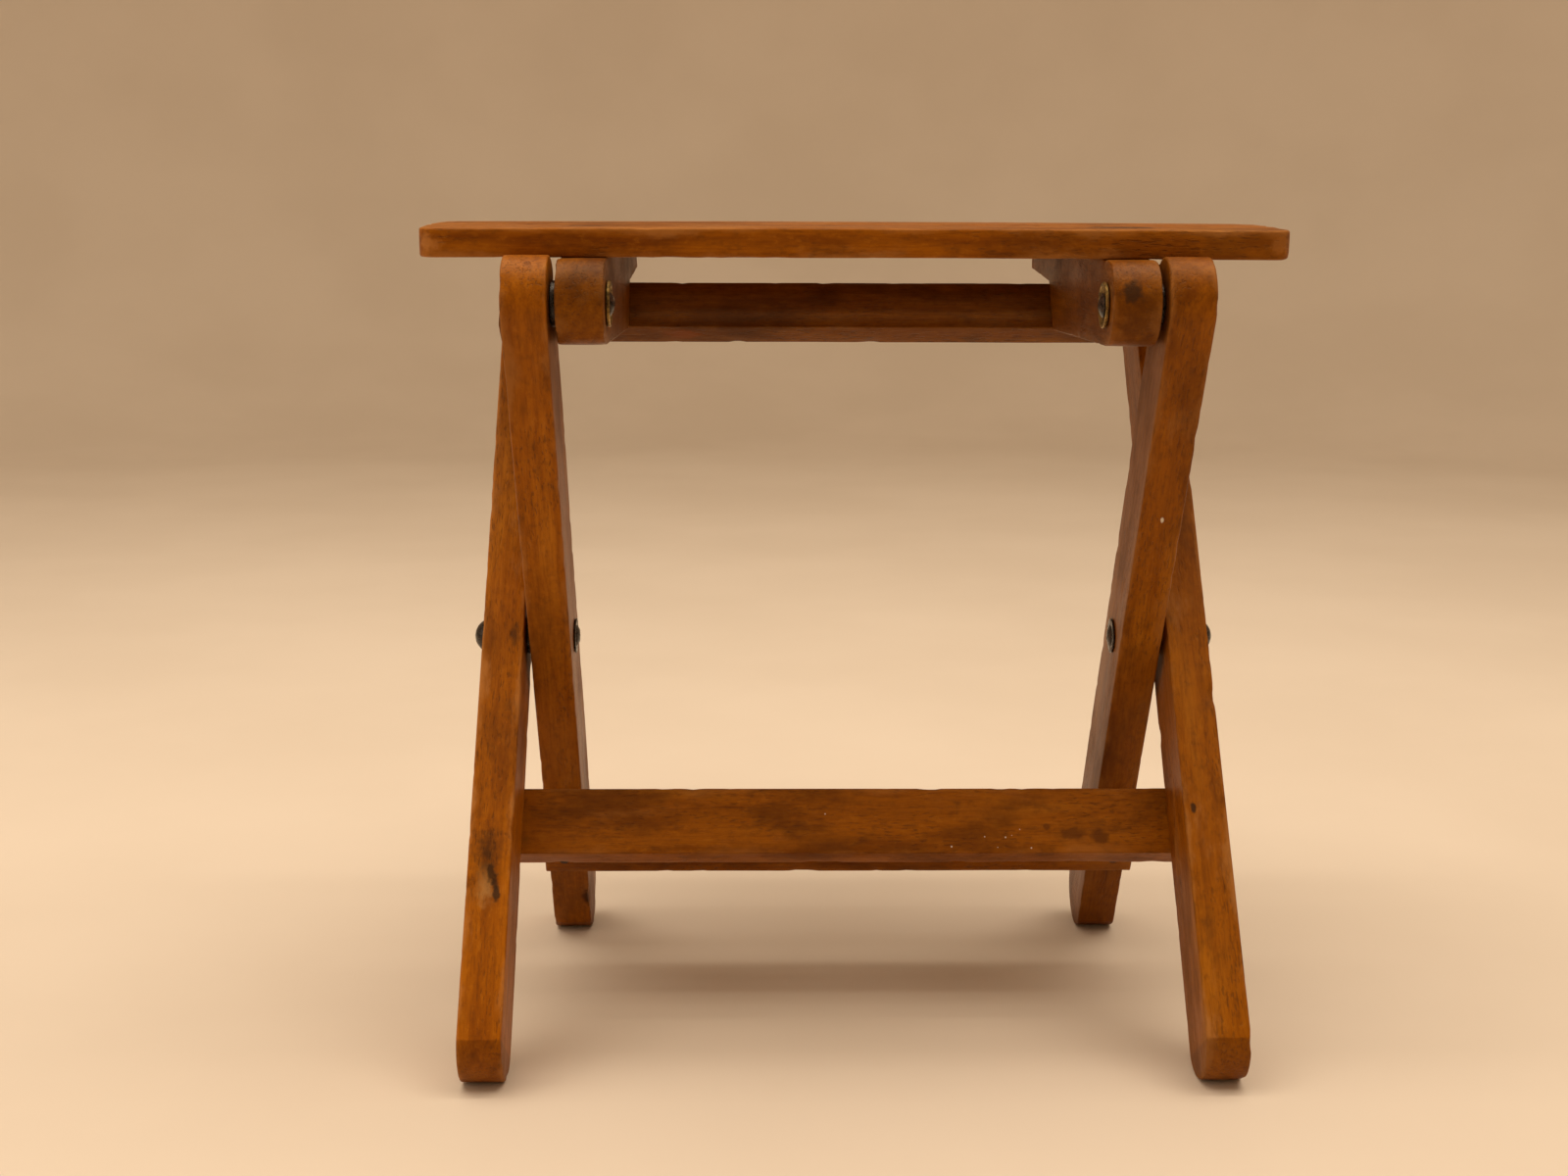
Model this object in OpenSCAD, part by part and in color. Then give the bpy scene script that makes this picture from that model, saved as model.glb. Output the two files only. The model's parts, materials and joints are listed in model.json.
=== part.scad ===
// Folding stool: two crossed frames on a common rivet line and a slatted seat that
// hinges on the tops of the inner frame and drops over a rail on the outer frame.
// X runs across the stool, Y from the front to the back, Z up from the floor.
// The origin is on the floor, in the middle of the width and of the depth.

/* [Frames] */
// Width over the faces of the outer legs
frame_w = 348; // [300:1:420]
// Thickness of every leg, measured across the stool
leg_t = 20; // [16:0.5:26]
// Width of every leg, measured from its front face to its rear face
leg_w = 38; // [34:0.5:40]
// Height of the crossing rivets above the floor
cross_h = 178.5; // [170:0.5:190]
// Lean of the outer legs from the vertical, tops to the rear
outer_lean = 36; // [34:0.5:38]
// Lean of the inner legs from the vertical, tops to the front
inner_lean = 29; // [27:0.5:31]
// Distance from the crossing rivets up to the seat rivets, along the inner legs
seat_arm = 187; // [183:0.5:190]
// Distance from the crossing rivets up to the centre of the outer leg tops
outer_arm = 197; // [192:0.5:199]
// How far the round of an inner leg top stands beyond its seat rivet
top_lift = 2; // [0:0.5:2]
// Radius of the round on the feet, a little more than half the width of a leg
foot_r = 20; // [20:0.25:21]
// Space between an inner and an outer leg
leg_gap = 2.5; // [2.5:0.1:4]

/* [Cross boards] */
// Thickness of the front and rear stretchers
stretcher_t = 14.5; // [12:0.5:17]
// Width of the front and rear stretchers
stretcher_w = 33; // [28:0.5:36]
// Distance from the crossing rivets down to the upper edge of the front stretcher
front_drop = 72; // [68:0.5:90]
// Distance from the crossing rivets down to the upper edge of the rear stretcher
rear_drop = 99; // [90:0.5:110]
// How far the front stretcher stops short of the outer faces of its legs
stretcher_inset = 2; // [0:0.5:6]
// Thickness of the rail under the back of the seat
rail_t = 14.8; // [12:0.1:16]
// Width of the rail under the back of the seat
rail_w = 27.5; // [24:0.5:28]
// Distance from the crossing rivets up to the lower edge of the rail
rail_rise = 157; // [155:0.5:159]

/* [Seat] */
// Length of the slats
slat_l = 380; // [356:1:430]
// Width of a slat
slat_w = 33.5; // [28:0.5:36]
// Open space between neighbouring slats
slat_gap = 4; // [3:0.5:6]
// Thickness of a slat
slat_t = 13; // [9:0.5:16]
// Number of slats
slat_n = 6; // [6:1:6]
// Corner radius of the seat, seen from above
seat_corner = 8; // [2:0.5:14]
// Height of the crown of the seat at its middle
crown = 2.5; // [0:0.5:4]
// Distance from the seat rivets back to the edge of the front slat
slat_start = 10; // [9:0.5:14]
// Height of the edge of the front slat above the seat rivets
seat_rise = 19.4; // [19.4:0.1:21]
// Thickness of a bearer, measured across the stool
bearer_t = 21; // [17:0.5:26]
// Depth of a bearer below the seat rivets
bearer_drop = 17.8; // [17:0.1:18.2]
// Space between an inner leg and a bearer
bearer_gap = 3; // [3:0.1:5]
// Length of a bearer behind the last slat
bearer_tail = 5; // [0:0.5:10]
// Space between the rail and the notch of a bearer
notch_gap = 0.6; // [0.5:0.1:1]
// Slope of the notch roof, rise to the rear in a length of one
notch_slope = 0.085; // [0.085:0.005:0.1]

/* [Hardware] */
// Diameter of the crossing rivets
cross_d = 7; // [5:0.5:9]
// Diameter of the domed heads of the crossing rivets
dome_d = 16.5; // [11:0.5:18]
// Height of the domed heads
dome_h = 6; // [3:0.1:6]
// Diameter of the washers on the crossing rivets
cross_washer_d = 18; // [14:0.5:24]
// Diameter of the seat rivets
seat_d = 6.5; // [5:0.5:9]
// Diameter of the brass washers on the seat rivets
brass_d = 20; // [14:0.5:24]
// Thickness of the brass washers
brass_t = 1.2; // [0.8:0.1:1.6]
// Diameter of the nail heads
nail_head_d = 6.5; // [5:0.5:8]
// Diameter of the nail shanks
nail_d = 2.6; // [2:0.1:3.2]

/* [Hidden] */
$fn = 64;
run_fit = 0.1;
side_play = 0.3;
end_plate = 0.8;
nail_head_t = 1;
slat_nail_l = 18.5;
board_nail_l = 32;
rear_nail_l = 30;
leg_r = leg_w / 2;
outer_x = frame_w / 2;
outer_in_x = outer_x - leg_t;
inner_x = outer_in_x - leg_gap;
inner_in_x = inner_x - leg_t;
bearer_x = inner_in_x - bearer_gap;
bearer_in_x = bearer_x - bearer_t;
// rivet line of the seat, measured from the crossing rivets
seat_y = -seat_arm * sin(inner_lean);
seat_z = seat_arm * cos(inner_lean);
// slats: pitch, the crown line and the tilt of each slat
slat_p = slat_w + slat_gap;
half_n = (slat_n - 1) / 2;
edge_tilt = atan(2 * crown / (half_n * slat_p));
first_rise = seat_rise + slat_w / 2 * sin(edge_tilt);
function slat_k(i) = i - half_n;
function slat_tilt(i) = -edge_tilt * slat_k(i) / half_n;
function slat_mid_y(i) = slat_start + slat_w / 2 + i * slat_p;
function slat_mid_z(i) = first_rise + crown * (1 - pow(slat_k(i) / half_n, 2));
function seat_end(i, s) = [
    slat_mid_y(i) + s * slat_w / 2 * cos(slat_tilt(i)),
    slat_mid_z(i) + s * slat_w / 2 * sin(slat_tilt(i))];
bearer_l = slat_mid_y(slat_n - 1) + slat_w / 2 + bearer_tail;
// front corners of the rail, measured from the seat rivets
rail_out = leg_r + rail_t;
function rail_y(s) = s * sin(outer_lean) - rail_out * cos(outer_lean) - seat_y;
function rail_z(s) = s * cos(outer_lean) + rail_out * sin(outer_lean) - seat_z;
rail_low = [rail_y(rail_rise), rail_z(rail_rise)];
rail_high = [rail_y(rail_rise + rail_w), rail_z(rail_rise + rail_w)];
wall_gap = notch_gap / cos(outer_lean);
roof_y = rail_high[0] - wall_gap;
roof_z = rail_high[1] + notch_gap;
// depth of the whole stool, used to centre it on the origin
front_y = -(cross_h - foot_r) * tan(outer_lean) - foot_r;
rear_y = seat_y + bearer_l;
mid_y = -(front_y + rear_y) / 2;
// nails in the boards: distance from the middle of the stool, and places up the legs
front_nail_x = outer_x - leg_t / 2;
rear_nail_x = inner_x - leg_t / 2;
front_nail_z = [-front_drop - stretcher_w * 0.27, -front_drop - stretcher_w * 0.73];
rail_nail_z = [rail_rise + rail_w * 0.27, rail_rise + rail_w * 0.73];
rear_nail_z = [-rear_drop - stretcher_w * 0.27, -rear_drop - stretcher_w * 0.73];

module varnished() { color([0.52, 0.29, 0.12]) children(); }
module dark_steel() { color([0.13, 0.12, 0.12]) children(); }
module brass() { color([0.72, 0.56, 0.24]) children(); }

// ---- placing ----
// a flat outline drawn in (Y, Z), given a thickness across the stool from x0
module across(x0, t) {
    translate([x0, 0, 0]) rotate([90, 0, 90]) linear_extrude(height = t) children();
}
// moves children from the crossing rivets to their place on the floor
module at_cross() { translate([0, mid_y, cross_h]) children(); }
// moves children from the seat rivets to their place
module at_seat() { at_cross() translate([0, seat_y, seat_z]) children(); }
// turns children drawn along an upright leg to the lean of the outer or inner legs
module outer_frame() { at_cross() rotate([-outer_lean, 0, 0]) children(); }
module inner_frame() { at_cross() rotate([inner_lean, 0, 0]) children(); }
// a round bar along X from x0 to x1
module bar(d, x0, x1) {
    translate([x0, 0, 0]) rotate([0, 90, 0]) cylinder(d = d, h = x1 - x0);
}
module ring(d, hole, x0, x1) {
    difference() {
        bar(d, x0, x1);
        bar(hole, x0 - 1, x1 + 1);
    }
}

// ---- legs ----
// upright leg outline: half-round top, slightly flatter round foot, pivot at the origin
module leg_outline(lean, top) {
    low = -(cross_h - foot_r) / cos(lean);
    translate([-leg_r, low]) square([leg_w, top - low]);
    translate([0, top]) circle(r = leg_r);
    intersection() {
        translate([0, low]) circle(r = foot_r);
        translate([-leg_r, low - foot_r]) square([leg_w, foot_r + 1]);
    }
}

// holes for nails driven along Y into a board or leg, from the face at y0
module nail_bores(x, y0, zs, dir, len) {
    for (side = [-1, 1])
        for (z = zs)
            translate([side * x, y0, z]) rotate([dir * 90, 0, 0])
                translate([0, 0, -1]) cylinder(d = nail_d, h = len + 1);
}

module outer_leg(side) {
    x0 = side > 0 ? outer_in_x : -outer_x;
    outer_frame() difference() {
        across(x0, leg_t) leg_outline(outer_lean, outer_arm);
        bar(cross_d, x0 - 1, x0 + leg_t + 1);
        nail_bores(front_nail_x, leg_r + stretcher_t, front_nail_z, 1, board_nail_l);
        nail_bores(front_nail_x, -leg_r - rail_t, rail_nail_z, -1, board_nail_l);
    }
}

module inner_leg(side) {
    x0 = side > 0 ? inner_in_x : -inner_x;
    inner_frame() difference() {
        across(x0, leg_t) leg_outline(inner_lean, seat_arm + top_lift);
        bar(cross_d + 2 * run_fit, x0 - 1, x0 + leg_t + 1);
        translate([0, 0, seat_arm]) bar(seat_d + 2 * run_fit, x0 - 1, x0 + leg_t + 1);
        nail_bores(rear_nail_x, -leg_r - stretcher_t, rear_nail_z, -1, rear_nail_l);
    }
}

// ---- cross boards ----
module board(half_l, y0, t, z0, w) {
    translate([-half_l, y0, z0]) cube([2 * half_l, t, w]);
}

module front_stretcher() {
    half_l = outer_x - stretcher_inset;
    varnished() outer_frame() difference() {
        board(half_l, leg_r, stretcher_t, -front_drop - stretcher_w, stretcher_w);
        nail_bores(front_nail_x, leg_r + stretcher_t, front_nail_z, 1, board_nail_l);
        nail_seats(front_nail_x, leg_r + stretcher_t, front_nail_z, 1);
    }
}

module rear_rail() {
    varnished() outer_frame() difference() {
        board(outer_x, -leg_r - rail_t, rail_t, rail_rise, rail_w);
        nail_bores(front_nail_x, -leg_r - rail_t, rail_nail_z, -1, board_nail_l);
        nail_seats(front_nail_x, -leg_r - rail_t, rail_nail_z, -1);
    }
}

module rear_stretcher() {
    varnished() inner_frame() difference() {
        board(inner_x, -leg_r - stretcher_t, stretcher_t, -rear_drop - stretcher_w,
            stretcher_w);
        nail_bores(rear_nail_x, -leg_r - stretcher_t, rear_nail_z, -1, rear_nail_l);
        nail_seats(rear_nail_x, -leg_r - stretcher_t, rear_nail_z, -1);
    }
}

// shallow seats that let the nail heads sit flush with the board
module nail_seats(x, y0, zs, dir) {
    for (side = [-1, 1])
        for (z = zs)
            translate([side * x, y0, z]) rotate([dir * 90, 0, 0])
                translate([0, 0, -1]) cylinder(d = nail_head_d, h = nail_head_t + 1);
}

// nails driven along Y, heads flush with the face at y0
module board_nails(x, y0, zs, dir, len) {
    for (side = [-1, 1])
        for (z = zs)
            translate([side * x, y0, z]) rotate([dir * 90, 0, 0]) {
                cylinder(d = nail_head_d, h = nail_head_t);
                cylinder(d = nail_d, h = len);
            }
}

module front_stretcher_nails() {
    dark_steel() outer_frame()
        board_nails(front_nail_x, leg_r + stretcher_t, front_nail_z, 1, board_nail_l);
}

module rail_nails() {
    dark_steel() outer_frame()
        board_nails(front_nail_x, -leg_r - rail_t, rail_nail_z, -1, board_nail_l);
}

module rear_stretcher_nails() {
    dark_steel() inner_frame()
        board_nails(rear_nail_x, -leg_r - stretcher_t, rear_nail_z, -1, rear_nail_l);
}

// ---- crossing rivets: drawn on the right, mirrored for the left ----
// ball radius of a dome of the given width and height
function ball_r(d, h) = (d * d / 4 + h * h) / (2 * h);
cross_in_x = inner_in_x - side_play - end_plate;

// a dome standing on the plane x0, its top towards +X
module dome(d, h, x0) {
    r = ball_r(d, h);
    translate([x0, 0, 0]) rotate([0, 90, 0]) rotate_extrude() intersection() {
        translate([0, h - r]) circle(r = r);
        square([d, h + 1]);
    }
}

module cross_rivet() {
    bar(cross_d, cross_in_x - 0.4, outer_x + 0.5);
    dome(dome_d, dome_h, outer_x);
    mirror([1, 0, 0]) dome(cross_d + 4, end_plate, -cross_in_x);
}

module cross_rivet_left() {
    dark_steel() at_cross() mirror([1, 0, 0]) cross_rivet();
}

module cross_rivet_right() {
    dark_steel() at_cross() cross_rivet();
}

module leg_washers() {
    dark_steel() at_cross() for (side = [0, 1]) mirror([side, 0, 0])
        ring(cross_washer_d, cross_d, inner_x + side_play, outer_in_x);
}

module end_washers() {
    dark_steel() at_cross() for (side = [0, 1]) mirror([side, 0, 0])
        ring(cross_washer_d - 1, cross_d, cross_in_x, inner_in_x - side_play);
}

// ---- seat rivets ----
seat_in_x = bearer_in_x - side_play - brass_t;

module seat_rivet() {
    bar(seat_d, seat_in_x - 1, inner_x + side_play + 0.4);
    dome(seat_d + 4, 1, inner_x + side_play);
    mirror([1, 0, 0]) dome(seat_d + 4.5, 2, -seat_in_x);
}

module seat_rivet_left() {
    brass() at_seat() mirror([1, 0, 0]) seat_rivet();
}

module seat_rivet_right() {
    brass() at_seat() seat_rivet();
}

module spacer_washers() {
    dark_steel() at_seat() for (side = [0, 1]) mirror([side, 0, 0])
        ring(brass_d, seat_d, bearer_x + side_play, inner_in_x - side_play);
}

module brass_washers() {
    brass() at_seat() for (side = [0, 1]) mirror([side, 0, 0])
        ring(brass_d, seat_d, seat_in_x, bearer_in_x - side_play);
}

// ---- seat ----
// outline of a bearer, seat rivet at the origin, notch open to the rear
nose_r = (seat_rise + bearer_drop) / 2 - 0.2;
nose_z = (seat_rise - bearer_drop) / 2;

module bearer_outline() {
    top = [for (i = [slat_n - 1 : -1 : 0]) each [seat_end(i, 1), seat_end(i, -1)]];
    roof_end = roof_z + notch_slope * (bearer_l - roof_y);
    wall_low = roof_y - (roof_z + bearer_drop) * tan(outer_lean);
    translate([0, nose_z]) circle(r = nose_r);
    polygon(concat(
        [[2, -bearer_drop], [wall_low, -bearer_drop], [roof_y, roof_z]],
        [[bearer_l, roof_end], [bearer_l, seat_end(slat_n - 1, 1)[1]]],
        top,
        [[2, seat_rise]]));
}

module slat_frame(i) {
    at_seat() translate([0, slat_mid_y(i), slat_mid_z(i)])
        rotate([slat_tilt(i), 0, 0]) children();
}

module slat_nail_bores(i) {
    for (side = [-1, 1])
        translate([side * (bearer_x + bearer_in_x) / 2, 0, slat_t - slat_nail_l])
            cylinder(d = nail_d, h = slat_nail_l + 1);
}

module bearer(side) {
    x0 = side > 0 ? bearer_in_x : -bearer_x;
    difference() {
        at_seat() across(x0, bearer_t) bearer_outline();
        at_seat() bar(seat_d + 2 * run_fit, x0 - 1, x0 + bearer_t + 1);
        for (i = [0 : slat_n - 1]) slat_frame(i) slat_nail_bores(i);
    }
}

module slat(i) {
    front_r = i == 0 ? seat_corner : 1.5;
    rear_r = i == slat_n - 1 ? seat_corner : 1.5;
    varnished() slat_frame(i) difference() {
        linear_extrude(height = slat_t) union() {
            slat_half(front_r, -1);
            slat_half(rear_r, 1);
        }
        slat_nail_bores(i);
        for (side = [-1, 1])
            translate([side * (bearer_x + bearer_in_x) / 2, 0, slat_t - nail_head_t + 0.4])
                cylinder(d = nail_head_d, h = 2);
    }
}

// half a slat from above, its two outer corners rounded with radius r
module slat_half(r, dir) {
    translate([-slat_l / 2 + r, dir > 0 ? 0 : -slat_w / 2])
        square([slat_l - 2 * r, slat_w / 2]);
    translate([-slat_l / 2, dir > 0 ? 0 : -slat_w / 2 + r])
        square([slat_l, slat_w / 2 - r]);
    for (side = [-1, 1])
        translate([side * (slat_l / 2 - r), dir * (slat_w / 2 - r)]) circle(r = r);
}

module slat_nails() {
    dark_steel() for (i = [0 : slat_n - 1]) slat_frame(i)
        for (side = [-1, 1])
            translate([side * (bearer_x + bearer_in_x) / 2, 0, slat_t + 0.4]) {
                translate([0, 0, -nail_head_t]) cylinder(d = nail_head_d, h = nail_head_t);
                translate([0, 0, -slat_nail_l - 0.4])
                    cylinder(d = nail_d, h = slat_nail_l);
            }
}

// ---- nodes ----
module outer_leg_left() { varnished() outer_leg(-1); }
module outer_leg_right() { varnished() outer_leg(1); }
module inner_leg_left() { varnished() inner_leg(-1); }
module inner_leg_right() { varnished() inner_leg(1); }
module bearer_left() { varnished() bearer(-1); }
module bearer_right() { varnished() bearer(1); }
module slat_1() { slat(0); }
module slat_2() { slat(1); }
module slat_3() { slat(2); }
module slat_4() { slat(3); }
module slat_5() { slat(4); }
module slat_6() { slat(5); }

outer_leg_left();
outer_leg_right();
front_stretcher();
rear_rail();
front_stretcher_nails();
rail_nails();
cross_rivet_left();
cross_rivet_right();
leg_washers();
end_washers();
inner_leg_left();
inner_leg_right();
rear_stretcher();
rear_stretcher_nails();
seat_rivet_left();
seat_rivet_right();
spacer_washers();
brass_washers();
bearer_left();
bearer_right();
slat_1();
slat_2();
slat_3();
slat_4();
slat_5();
slat_6();
slat_nails();
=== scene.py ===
"""Looks of the folding stool: varnished beech with wear, dark rivets and nails, brass washers.

Every wooden piece is drawn in its own axes, X along the grain, Y across it and Z through the
thickness, so that one wood shader fits them all. Lengths are in metres.
"""

import json
import math

import bmesh
import bpy
from mathutils import Matrix, Vector, kdtree, noise


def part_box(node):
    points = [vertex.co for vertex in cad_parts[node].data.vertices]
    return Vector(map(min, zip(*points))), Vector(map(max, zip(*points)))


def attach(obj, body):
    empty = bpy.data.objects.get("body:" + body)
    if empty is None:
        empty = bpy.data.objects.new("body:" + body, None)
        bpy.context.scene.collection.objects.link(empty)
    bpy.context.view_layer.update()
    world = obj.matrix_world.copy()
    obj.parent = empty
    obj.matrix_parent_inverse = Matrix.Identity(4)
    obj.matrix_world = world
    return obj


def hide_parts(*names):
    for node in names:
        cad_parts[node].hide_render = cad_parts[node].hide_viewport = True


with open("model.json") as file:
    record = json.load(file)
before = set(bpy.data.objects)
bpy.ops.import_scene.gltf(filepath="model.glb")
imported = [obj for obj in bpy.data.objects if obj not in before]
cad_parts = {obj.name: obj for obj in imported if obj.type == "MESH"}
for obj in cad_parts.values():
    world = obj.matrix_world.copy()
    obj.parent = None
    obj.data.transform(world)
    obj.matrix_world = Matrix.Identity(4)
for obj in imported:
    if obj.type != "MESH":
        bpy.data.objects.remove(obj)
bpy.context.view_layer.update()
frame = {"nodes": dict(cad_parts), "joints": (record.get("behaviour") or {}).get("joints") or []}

MM = 0.001
X, Y, Z = Vector((1, 0, 0)), Vector((0, 1, 0)), Vector((0, 0, 1))

# ---- the design, as in the CAD ----
JOINTS = {j["name"]: j for j in frame["joints"]}
CROSS = Vector(JOINTS["frame_fold"]["pos_m"])
SEAT = Vector(JOINTS["seat_follow"]["pos_m"])
TO_SEAT = SEAT - CROSS
INNER_LEAN = math.atan2(-TO_SEAT.y, TO_SEAT.z)
SEAT_ARM = TO_SEAT.length
OUTER_LEAN = math.radians(36)
OUTER_ARM = 197 * MM
TOP_LIFT = 2 * MM
LEG_R = 19 * MM
FOOT_R = 20 * MM
STRETCHER_W, STRETCHER_T = 33 * MM, 14.5 * MM
FRONT_DROP, REAR_DROP = 72 * MM, 99 * MM
RAIL_W, RAIL_T, RAIL_RISE = 27.5 * MM, 14.8 * MM, 157 * MM
SLAT_W, SLAT_GAP, SLAT_T, SLAT_N = 33.5 * MM, 4 * MM, 13 * MM, 6
SLAT_START, SEAT_RISE, CROWN, SEAT_CORNER = 10 * MM, 19.4 * MM, 2.5 * MM, 8 * MM
BEARER_DROP, NOTCH_GAP, NOTCH_SLOPE = 17.8 * MM, 0.6 * MM, 0.085
BEARER_X = 118 * MM
NAIL_R, NAIL_SHANK_R = 3.25 * MM, 1.3 * MM
SLAT_NAIL_SINK = 0.7 * MM

SLAT_P = SLAT_W + SLAT_GAP
HALF_N = (SLAT_N - 1) / 2
EDGE_TILT = math.atan(2 * CROWN / (HALF_N * SLAT_P))
FIRST_RISE = SEAT_RISE + SLAT_W / 2 * math.sin(EDGE_TILT)

# ---- wear of the meshes ----
SHARP = math.radians(30)
KINK = math.radians(10)
GRID = 3 * MM
EDGE_REACH = 2.2 * MM
FACE_WEAR, EDGE_WEAR, CHIP_DEPTH, CHIP_LEVEL = 0.16 * MM, 0.22 * MM, 1.6 * MM, 0.18
SLAT_BOW = 0.15 * MM


def axes(origin, x, y):
    """A matrix that puts a piece's own axes at origin, its X along x and its Y along y."""
    m = Matrix.Identity(4)
    for i, column in enumerate((x, y, x.cross(y), origin)):
        for row in range(3):
            m[row][i] = column[row]
    return m


def leaning(v, lean):
    """v, drawn for an upright leg, turned about X so that the leg's top goes to the rear by lean."""
    return Matrix.Rotation(-lean, 3, "X") @ v


def leg_axes(lean):
    return axes(CROSS, leaning(Z, lean), leaning(-Y, lean))


def board_axes(lean):
    return axes(CROSS, X, leaning(Z, lean))


def slat_axes(i):
    k = (i - HALF_N) / HALF_N
    tilt = -EDGE_TILT * k
    middle = SEAT + Vector((0, SLAT_START + SLAT_W / 2 + i * SLAT_P, FIRST_RISE + CROWN * (1 - k * k)))
    return axes(middle, X, Vector((0, math.cos(tilt), math.sin(tilt))))


# ---- outlines, counter-clockwise in a piece's own X and Y ----
def arc(cx, cy, r, start, end, n):
    """Points on a circle from start to end, in degrees."""
    turn = [math.radians(start + (end - start) * i / n) for i in range(n + 1)]
    return [(cx + r * math.cos(t), cy + r * math.sin(t)) for t in turn]


def leg_outline(lean, top):
    """Half-round top at +X and a shallow round foot at -X."""
    low = -(CROSS.z - FOOT_R) / math.cos(lean)
    span = math.degrees(math.asin(LEG_R / FOOT_R))
    return arc(top, 0, LEG_R, -90, 90, 36) + arc(low, 0, FOOT_R, 180 - span, 180 + span, 20)


def rectangle(x0, y0, x1, y1):
    return [(x0, y0), (x1, y0), (x1, y1), (x0, y1)]


def slat_outline(half_l, front_r, rear_r):
    w = SLAT_W / 2
    return (
        arc(half_l - front_r, -w + front_r, front_r, -90, 0, 10)
        + arc(half_l - rear_r, w - rear_r, rear_r, 0, 90, 10)
        + arc(-half_l + rear_r, w - rear_r, rear_r, 90, 180, 10)
        + arc(-half_l + front_r, -w + front_r, front_r, 180, 270, 10)
    )


def bearer_outline(length):
    """Round nose, flat bottom, a notch open to the rear for the rail, and a top that follows the slats."""
    nose_r = (SEAT_RISE + BEARER_DROP) / 2 - 0.2 * MM
    nose_z = (SEAT_RISE - BEARER_DROP) / 2
    s, c = math.sin(OUTER_LEAN), math.cos(OUTER_LEAN)
    along, out = RAIL_RISE + RAIL_W, LEG_R + RAIL_T
    roof_y = along * s - out * c - TO_SEAT.y - NOTCH_GAP / c
    roof_z = along * c + out * s - TO_SEAT.z + NOTCH_GAP
    wall_low = roof_y - (roof_z + BEARER_DROP) * s / c
    top = []
    for i in reversed(range(SLAT_N)):
        m = slat_axes(i)
        for side in (1, -1):
            p = m @ Vector((0, side * SLAT_W / 2, 0)) - SEAT
            top.append((p.y, p.z))
    nose = arc(0, nose_z, nose_r, 92, 268, 36)
    return (
        nose
        + [(2 * MM, -BEARER_DROP), (wall_low, -BEARER_DROP), (roof_y, roof_z)]
        + [(length, roof_z + NOTCH_SLOPE * (length - roof_y)), (length, top[0][1])]
        + top
        + [(2 * MM, SEAT_RISE)]
    )


# ---- wood meshes ----
def prism(outline, z0, z1):
    """The outline drawn out from z0 to z1. Its shallow kinks are marked, so that they stay crisp."""
    bm = bmesh.new()
    base = [bm.verts.new((x, y, z0)) for x, y in outline]
    face = bm.faces.new(base)
    grown = bmesh.ops.extrude_face_region(bm, geom=[face])
    for v in grown["geom"]:
        if isinstance(v, bmesh.types.BMVert):
            v.co.z = z1
    bmesh.ops.recalc_face_normals(bm, faces=bm.faces)
    for e in bm.edges:
        if KINK < e.calc_face_angle() < SHARP:
            e.smooth = False
    return bm


def sharp_edges(bm):
    return [e for e in bm.edges if len(e.link_faces) == 2 and e.calc_face_angle() > SHARP]


def edge_tree(edges):
    """Points about a millimetre apart along the edges, to find how far a vertex is from one."""
    points = []
    for e in edges:
        a, b = (v.co.copy() for v in e.verts)
        n = max(1, int((b - a).length / MM))
        points += [a.lerp(b, i / n) for i in range(n + 1)]
    tree = kdtree.KDTree(len(points))
    for i, p in enumerate(points):
        tree.insert(p, i)
    tree.balance()
    return tree


def slice_up(bm):
    """Cuts every face along planes about a grid step apart, so that wear has vertices to move."""
    for axis in (X, Y, Z):
        reach = [v.co.dot(axis) for v in bm.verts]
        low, high = min(reach), max(reach)
        n = max(2, round((high - low) / GRID))
        for i in range(1, n):
            at = axis * (low + (high - low) * i / n)
            everything = bm.verts[:] + bm.edges[:] + bm.faces[:]
            bmesh.ops.bisect_plane(bm, geom=everything, dist=1e-7, plane_co=at, plane_no=axis)


def weather(bm, tree, seed, dents):
    """Moves vertices inwards: planing marks on the faces, worn and chipped edges, and the dents.
    dents are (position, radius, depth). Leaves how near an edge each vertex is in a layer that the
    shader reads."""
    near = bm.verts.layers.float.new("edge")
    shift = Vector((seed * 3.7, seed * 1.3, seed * 5.1))
    bm.normal_update()
    moves = []
    for v in bm.verts:
        d = tree.find(v.co)[2]
        e = math.exp(-d / EDGE_REACH)
        v[near] = e
        p = Vector((v.co.x * 18, v.co.y * 60, v.co.z * 60)) + shift
        wave = 0.5 + 0.5 * noise.noise(p)
        chip = max(0.0, noise.noise(v.co * 110 + shift) - CHIP_LEVEL)
        depth = FACE_WEAR * wave + e * (EDGE_WEAR * wave + CHIP_DEPTH * chip)
        for at, radius, deep in dents:
            away = v.co - Vector(at)
            away.x *= 0.55
            depth += deep * math.exp(-away.length_squared / (radius * radius))
        moves.append((v, v.normal * -depth))
    for v, move in moves:
        v.co += move


def timber(name, body, outline, z0, z1, place, seed, material, ease, dents=(), bend=None):
    """A wooden piece that stands for the CAD node of the same name.
    ease is how far its edges are broken, and bend gives a shift in Z for each place along it."""
    bm = prism(outline, z0, z1)
    sharp = sharp_edges(bm)
    tree = edge_tree(sharp)
    bmesh.ops.bevel(bm, geom=sharp, offset=ease, segments=3, profile=0.5, affect="EDGES",
                    clamp_overlap=True)
    slice_up(bm)
    weather(bm, tree, seed, dents)
    grain = bm.verts.layers.float_vector.new("grain")
    for v in bm.verts:
        v[grain] = v.co
        if bend:
            v.co.z += bend(v.co.x)
    bm.transform(place)
    piece = finished(bm, name + "_wood", material)
    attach(piece, body)
    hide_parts(name)


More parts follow.
